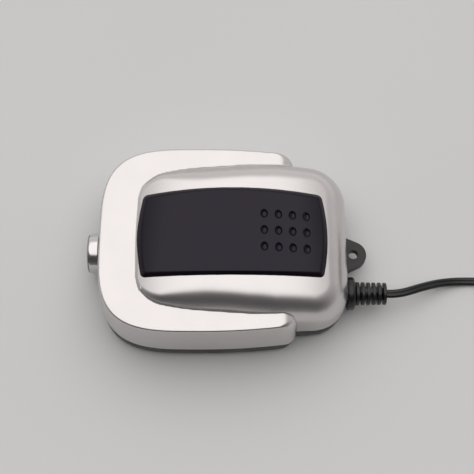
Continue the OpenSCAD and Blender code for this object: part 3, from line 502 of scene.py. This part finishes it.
def horseshoe(x, y, z):
    """Draft walls and a flat deck with a crisp edge; the arms' tops roll down to their ends."""
    grow = DRAFT * (DECK_Z - z) / (DECK_Z - SEAM_Z)
    plan = both(horseshoe_plan(x, y) - grow, x - ARM_END, ARM_CORNER)
    deck = both(z - DECK_Z, x - ARM_END, ARM_ROLL)
    return both(plan, deck, EDGE_R + (ARM_EDGE_R - EDGE_R) * smoothed((x - 24) / 8))


def arch(x, y, fall):
    """Height of an arched top over its middle, always below 0."""
    return -ARCH_DROP * ((x - ARCH_MID) / ARCH_SPAN) ** 2 - fall * (y / FALL_SPAN) ** 2


def arch_slope(x):
    """What turns a height above the arch into a distance from it."""
    return np.hypot(1, 2 * ARCH_DROP * (x - ARCH_MID) / ARCH_SPAN ** 2)


def dome(x, y, z):
    """The arched top. Its shoulder is tight at the left end and wide along the sides."""
    mid, half_l = (DOME_LEFT + DOME_RIGHT) / 2, (DOME_RIGHT - DOME_LEFT) / 2
    corner = LEFT_CORNER + (RIGHT_CORNER - LEFT_CORNER) * smoothed((x - mid + 20) / 40)
    shoulder = (SHOULDER_LEFT + (SHOULDER_SIDE - SHOULDER_LEFT) * smoothed((x - DOME_LEFT) / SHOULDER_SPAN)
                + (SHOULDER_RIGHT - SHOULDER_SIDE) * smoothed((x - 14) / SHOULDER_SPAN))
    # the width where the dome meets the deck, and what the shoulder has still to go out below there
    foot = FOOT_W + FOOT_TAPER * np.minimum(x - 8, 0) - FOOT_CURVE * np.minimum(x + 20, 0) ** 2
    side_height = DOME_Z - 2 + arch(np.minimum(x, 24), 0, 0) - DECK_Z
    below = np.clip(shoulder - side_height, 0, shoulder)
    half_w = foot + shoulder - np.sqrt(shoulder ** 2 - below ** 2)
    plan = both(np.abs(x - mid) - half_l, np.abs(y) - half_w, corner)
    top = (z - DOME_Z - arch(x, y, DOME_FALL)) / arch_slope(x)
    return both(plan, top, shoulder)


def shell_walls(x, y, z):
    """The silver shell with its outlet alcoves and passages, open at the bottom."""
    outer = either(horseshoe(x, y, z), dome(x, y, z), 0.4)
    shell = np.maximum(outer, -(outer + WALL))
    inside = np.maximum(horseshoe_plan(x, y) + 0.8, z - DECK_Z)
    for side in (-1, 1):
        low = (-95, side * OUTLET_Y - ALCOVE_W / 2, ALCOVE_LOW)
        high = (ALCOVE_X, side * OUTLET_Y + ALCOVE_W / 2, ALCOVE_LOW + ALCOVE_H)
        walls = block(x, y, z, [c - 2 for c in low], [c + 2 for c in high], 0.5)
        shell = np.minimum(shell, np.maximum(walls, inside))
        shell = -either(-shell, block(x, y, z, low, high, 1.0), 0.4)
    hub = np.maximum(rod_x(y, z, 0.0, KNOB_Z, HUB_R), x + 76)
    gland = np.maximum(rod_x(y, z, LEAD_EXIT.y, LEAD_EXIT.z, GLAND_R), 59 - x)
    return np.maximum(np.maximum(shell, -hub), -gland)


def upper_shell(x, y, z):
    return np.maximum(shell_walls(x, y, z), RIM_Z - z)


PANEL_L, PANEL_W, PANEL_CORNER, PANEL_BOW = 56.5, 27.7, 2.6, (3.6, 1.5)
BEVEL_W, BEVEL_DROP = 2.5, 1.75
PANEL_TOP = DOME_Z + PANEL_RISE - 0.25
DIMPLE_R = (2.15, 2.75, 1.75)
DIMPLES = [(16.6 + 8.35 * i, 10.3 * j) for i in range(4) for j in (-1, 0, 1)]


def panel(x, y, z):
    """The inlay: bowed outline, bevelled rim and twelve dimples."""
    u, v = (x - ARCH_MID) / PANEL_L, y / PANEL_W
    ends = np.abs(x - ARCH_MID) - PANEL_L + PANEL_BOW[0] * v * v
    ends = ends / np.hypot(1, 2 * PANEL_BOW[0] * v / PANEL_W)
    sides = (np.abs(y) - PANEL_W + PANEL_BOW[1] * u * u) / np.hypot(1, 2 * PANEL_BOW[1] * u / PANEL_L)
    plan = both(ends, sides, PANEL_CORNER)
    top = (z - PANEL_TOP - arch(x, y, PANEL_FALL)) / arch_slope(x)
    slant = ((plan + BEVEL_W) * BEVEL_DROP + top * BEVEL_W) / math.hypot(BEVEL_DROP, BEVEL_W)
    solid = both(both(top, slant, 0.6), plan, 0.15)
    for cx, cy in DIMPLES:
        level = PANEL_TOP + arch(cx, cy, PANEL_FALL)
        tilt = -2 * ARCH_DROP * (cx - ARCH_MID) / ARCH_SPAN ** 2
        h = z - level - tilt * (x - cx)
        a, b, c = DIMPLE_R
        ball = (np.sqrt(((x - cx) / a) ** 2 + ((y - cy) / b) ** 2 + ((h - 0.35) / c) ** 2) - 1) * 1.9
        solid = -either(-solid, ball, 0.3)
    return np.maximum(solid, -(top + PANEL_RISE + 0.7))


def slope(field, points, reach=0.05):
    """How a field changes along X, Y and Z at each point, per millimetre."""
    out = []
    for n in range(3):
        d = np.zeros(3)
        d[n] = reach
        out.append((field(*(points + d).T) - field(*(points - d).T)) / (2 * reach))
    return np.array(out).T


def surface(field, low, high, step):
    """Mesh of a field's zero surface: one point per crossed cell, moved onto the surface, with its normal."""
    axes = [np.arange(a, b + step, step) for a, b in zip(low, high)]
    values = field(*np.meshgrid(*axes, indexing="ij"))
    inside = values < 0
    corners = [(i, j, k) for i in (0, 1) for j in (0, 1) for k in (0, 1)]
    size = [n - 1 for n in inside.shape]

    def corner(grid, c):
        return grid[c[0]:c[0] + size[0], c[1]:c[1] + size[1], c[2]:c[2] + size[2]]

    count = sum(corner(inside, c).astype(np.int8) for c in corners)
    crossed = (count > 0) & (count < 8)
    total, weight = np.zeros((*size, 3)), np.zeros(size)
    for c in corners:
        for axis in range(3):
            if c[axis]:
                continue
            d = tuple(v + (1 if n == axis else 0) for n, v in enumerate(c))
            a, b = corner(values, c), corner(values, d)
            hit = crossed & ((a < 0) != (b < 0))
            share = np.where(hit, a / np.where(a == b, 1, a - b), 0)
            for n in range(3):
                total[..., n] += np.where(hit, c[n] + (share if n == axis else 0), 0)
            weight += hit
    cells = np.argwhere(crossed)
    number = -np.ones(size, int)
    number[crossed] = np.arange(len(cells))
    points = cells + total[crossed] / weight[crossed][:, None]
    points = points * step + np.array([a[0] for a in axes])

    for _ in range(3):
        g = slope(field, points)
        square = np.maximum((g * g).sum(1), 0.25)
        points = points - np.clip(field(*points.T) / square, -step / 2, step / 2)[:, None] * g
    normals = slope(field, points)
    normals /= np.maximum(np.linalg.norm(normals, axis=1), 1e-9)[:, None]

    faces = []
    for axis in range(3):
        one, two = (axis + 1) % 3, (axis + 2) % 3
        near, far = [slice(None)] * 3, [slice(None)] * 3
        near[axis], far[axis] = slice(None, -1), slice(1, None)
        a, b = inside[tuple(near)], inside[tuple(far)]
        change = a != b
        np.moveaxis(change, one, 0)[0] = False
        np.moveaxis(change, two, 0)[0] = False
        where = np.argwhere(change)
        where = where[(where[:, one] < size[one]) & (where[:, two] < size[two])]
        ring = []
        for da, db in ((0, 0), (1, 0), (1, 1), (0, 1)):
            at = where.copy()
            at[:, one] -= da
            at[:, two] -= db
            ring.append(number[tuple(at.T)])
        quads = np.array(ring).T
        flip = b[tuple(where.T)]
        quads[flip] = quads[flip][:, ::-1]
        faces.append(quads)
    faces = np.concatenate(faces)
    return points, faces[(faces >= 0).all(1)], normals


STEP, PANEL_STEP = 0.8, 0.54      # cell sizes


def clean_rim(points, normals):
    """The shell's lowest points go level, and those near its walls onto them, shaded as part of the wall."""
    rim = points[:, 2] < RIM_Z + STEP / 2
    points[rim, 2] = RIM_Z
    for _ in range(3):
        away = shell_walls(*points.T)
        edge = rim & (np.abs(away) < 0.8 * STEP)
        across = slope(shell_walls, points)
        across[:, 2] = 0
        steep = np.maximum((across * across).sum(1), 0.25)
        points[edge] -= (away / steep)[edge, None] * across[edge]
    normals[edge] = across[edge] / np.maximum(np.linalg.norm(across[edge], axis=1), 1e-9)[:, None]


points, faces, normals = surface(upper_shell, (-86, -63, RIM_Z - 2.5 * STEP), (70, 63, 58), STEP)
clean_rim(points, normals)
add_piece("case_top", points, faces, "silver_paint", replaced=["upper_case"], normals=normals)
points, faces, normals = surface(panel, (-62, -30, 40), (58, 30, 59), PANEL_STEP)
add_piece("inlay", points, faces, "black_gloss", replaced=["top_panel"], normals=normals)


# ---------- regulator knob ----------
knob_profile = rounded_profile(
    [(0.05, 0.5), (0.15, 7.0), (0.7, KNOB_R - 0.9), (2.0, KNOB_R - 0.05), (7.4, KNOB_R - 0.05),
     (7.4, KNOB_R - 1.6), (5.2, KNOB_R - 1.6), (5.2, 4.6), (13.9, 4.6), (13.9, 0.5)],
    [0, 0, 1.2, 1.2, 0.3, 0.3, 0.5, 0.5, 0.3, 0])
verts, faces = revolve(knob_profile, (KNOB_END, 0.0, KNOB_Z), "X", 96)
add_piece("knob", verts, faces, "silver_knob", body="regulator", replaced=["regulator_knob"])


# ---------- strain relief ----------
CASE_RIGHT = DOME_RIGHT
COLLAR_R, COLLAR_L, COLLAR_SIDES = 10.0, 5.0, 8
RIBS, RIB_R, RIB_PITCH, RIB_L = 6, 7.1, 3.27, 1.95
collar = []
for x, r in ((0.1, COLLAR_R - 0.6), (0.6, COLLAR_R), (COLLAR_L - 1.0, COLLAR_R), (COLLAR_L, COLLAR_R - 0.9)):
    ring = []
    for k in range(COLLAR_SIDES):
        a = 2 * math.pi * (k + 0.5) / COLLAR_SIDES
        ring.append(Vector((CASE_RIGHT + x, LEAD_EXIT.y + r * math.cos(a), LEAD_EXIT.z + r * math.sin(a))))
    collar.append(ring)
shapes = [skin(collar)]
centre = (CASE_RIGHT, LEAD_EXIT.y, LEAD_EXIT.z)
shapes.append(revolve([(-3.9, 5.4), (0.3, 5.4)], centre, "X", 40))
shapes.append(revolve([(COLLAR_L - 0.3, 4.6), (RELIEF_END - CASE_RIGHT - 0.4, 3.9),
                       (RELIEF_END - CASE_RIGHT, 3.5)], centre, "X", 40))
for i in range(RIBS):
    x = COLLAR_L + 0.75 + i * RIB_PITCH
    r = RIB_R - 0.07 * i
    end = min(x + RIB_L, RELIEF_END - CASE_RIGHT)
    profile = rounded_profile([(x, 4.0), (x, r), (end, r), (end, 4.0)], [0, 0.35, 0.35, 0])
    shapes.append(revolve(profile, centre, "X", 48))
add_piece("relief", *joined(*shapes), "cord_black", replaced=["strain_relief"], look="relief_black")
spine = []
for x, half_y, half_z in ((COLLAR_L - 0.3, 2.4, 6.6), (RELIEF_END - CASE_RIGHT - 0.3, 2.1, 6.3)):
    spine.append([Vector((CASE_RIGHT + x, LEAD_EXIT.y + half_y * c, LEAD_EXIT.z + half_z * s))
                  for c, s in squarish_oval(0.4, 24)])
add_piece("relief_spine", *skin(spine), "cord_black", look="relief_black")


# ---------- diaphragms: a rubber membrane in place of each, riding no body -----------------
DIAPHRAGM_PROFILE = [(27.13, 0.05), (27.13, 6.0), (28.6, 6.0), (29.3, 8.0), (32.0, 9.6), (33.03, 12.97),
                     (34.12, 12.97), (34.12, 9.0), (32.6, 8.0), (30.57, 6.8), (30.57, 0.05)]
for side, arm in ((1, "back"), (-1, "front")):
    low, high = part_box("diaphragm_" + arm)
    x, z = (low.x + high.x) / 2 / MM, (low.z + high.z) / 2 / MM
    profile = [(side * y, r) for y, r in DIAPHRAGM_PROFILE][::side]
    membrane = add_piece("membrane_" + arm, *revolve(profile, (x, 0.0, z), "Y", 64), "rubber", body=None,
                         replaced=["diaphragm_" + arm])
    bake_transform(membrane)


# ---------- softer edges on the CAD nodes that stay in view ----------
SOFT_EDGES = (("lower_case", 0.35), ("rubber_feet", 0.2), ("outlet_nozzle_back", 0.15),
              ("outlet_nozzle_front", 0.15), ("filter_cover", 0.2))
shade_smooth = bpy.data.node_groups.new("shade_smooth", "GeometryNodeTree")
for way in ("INPUT", "OUTPUT"):
    shade_smooth.interface.new_socket("Geometry", in_out=way, socket_type="NodeSocketGeometry")
begin, end = shade_smooth.nodes.new("NodeGroupInput"), shade_smooth.nodes.new("NodeGroupOutput")
smoother = shade_smooth.nodes.new("GeometryNodeSetShadeSmooth")
shade_smooth.links.new(begin.outputs[0], smoother.inputs["Geometry"])
shade_smooth.links.new(smoother.outputs[0], end.inputs[0])
for name, width in SOFT_EDGES:
    node = frame["nodes"][name]
    add_modifier(node, "WELD", merge_threshold=0.00001)
    add_modifier(node, "NODES", node_group=shade_smooth)
    bevelled(node, width)


# ---------- floor and light ----------
LIGHT_TILT = math.radians(12)
LIGHT_WAY = (0.0, math.sin(LIGHT_TILT), math.cos(LIGHT_TILT))   # overhead, a little behind
LIGHT_EDGE = (0.68, 0.85)   # cosine of the angle from there at which the light begins, and is full
LIGHT_LEVEL = 1.42
SURROUND = (0.06, 0.70)     # brightness of the rest, in front and behind
HORIZON = 0.12              # what it gains towards the horizon
FLOOR_HALF = 3.0            # metres


def stage_floor():
    mesh = bpy.data.meshes.new("floor")
    h = FLOOR_HALF
    mesh.from_pydata([(-h, -h, 0), (h, -h, 0), (h, h, 0), (-h, h, 0)], [], [(0, 1, 2, 3)])
    n = Nodes("floor")
    n.colours(n.noise(3.0), (0.73, 0.73, 0.73), (0.75, 0.75, 0.75))
    n.set(Roughness=0.7)
    mesh.materials.append(n.material)
    floor = bpy.data.objects.new("floor", mesh)
    bpy.context.scene.collection.objects.link(floor)


def studio():
    """A wide soft light overhead, with dim surroundings in front and brighter ones behind."""
    world = bpy.data.worlds.new("studio")
    bpy.context.scene.world = world
    world.use_nodes = True
    tree = world.node_tree

    def add(kind, inputs, **settings):
        node = tree.nodes.new(kind)
        for key, value in settings.items():
            setattr(node, key, value)
        for key, value in inputs.items():
            if isinstance(value, bpy.types.NodeSocket):
                tree.links.new(value, node.inputs[key])
            else:
                node.inputs[key].default_value = value
        return node

    way = add("ShaderNodeTexCoord", {}).outputs["Generated"]
    parts = add("ShaderNodeSeparateXYZ", {"Vector": way}).outputs

    def rise(value, low, high, to_low, to_high):
        inputs = {"Value": value, "From Min": low, "From Max": high, "To Min": to_low, "To Max": to_high}
        return add("ShaderNodeMapRange", inputs, interpolation_type="SMOOTHSTEP").outputs["Result"]

    towards = add("ShaderNodeVectorMath", {0: way, 1: LIGHT_WAY}, operation="DOT_PRODUCT").outputs["Value"]
    around = rise(parts["Y"], -0.75, 0.9, *SURROUND)
    glow = rise(parts["Z"], 0.45, 0.0, 0.0, HORIZON)
    around = add("ShaderNodeMath", {0: around, 1: glow}, operation="ADD").outputs["Value"]
    strength = add("ShaderNodeMix", {"Factor": rise(towards, *LIGHT_EDGE, 0.0, 1.0), "A": around,
                                     "B": LIGHT_LEVEL}).outputs["Result"]
    background = tree.nodes["Background"]
    background.inputs["Color"].default_value = (1.0, 0.985, 0.975, 1.0)
    tree.links.new(strength, background.inputs["Strength"])


stage_floor()
studio()
bpy.context.scene.view_settings.view_transform = "Standard"
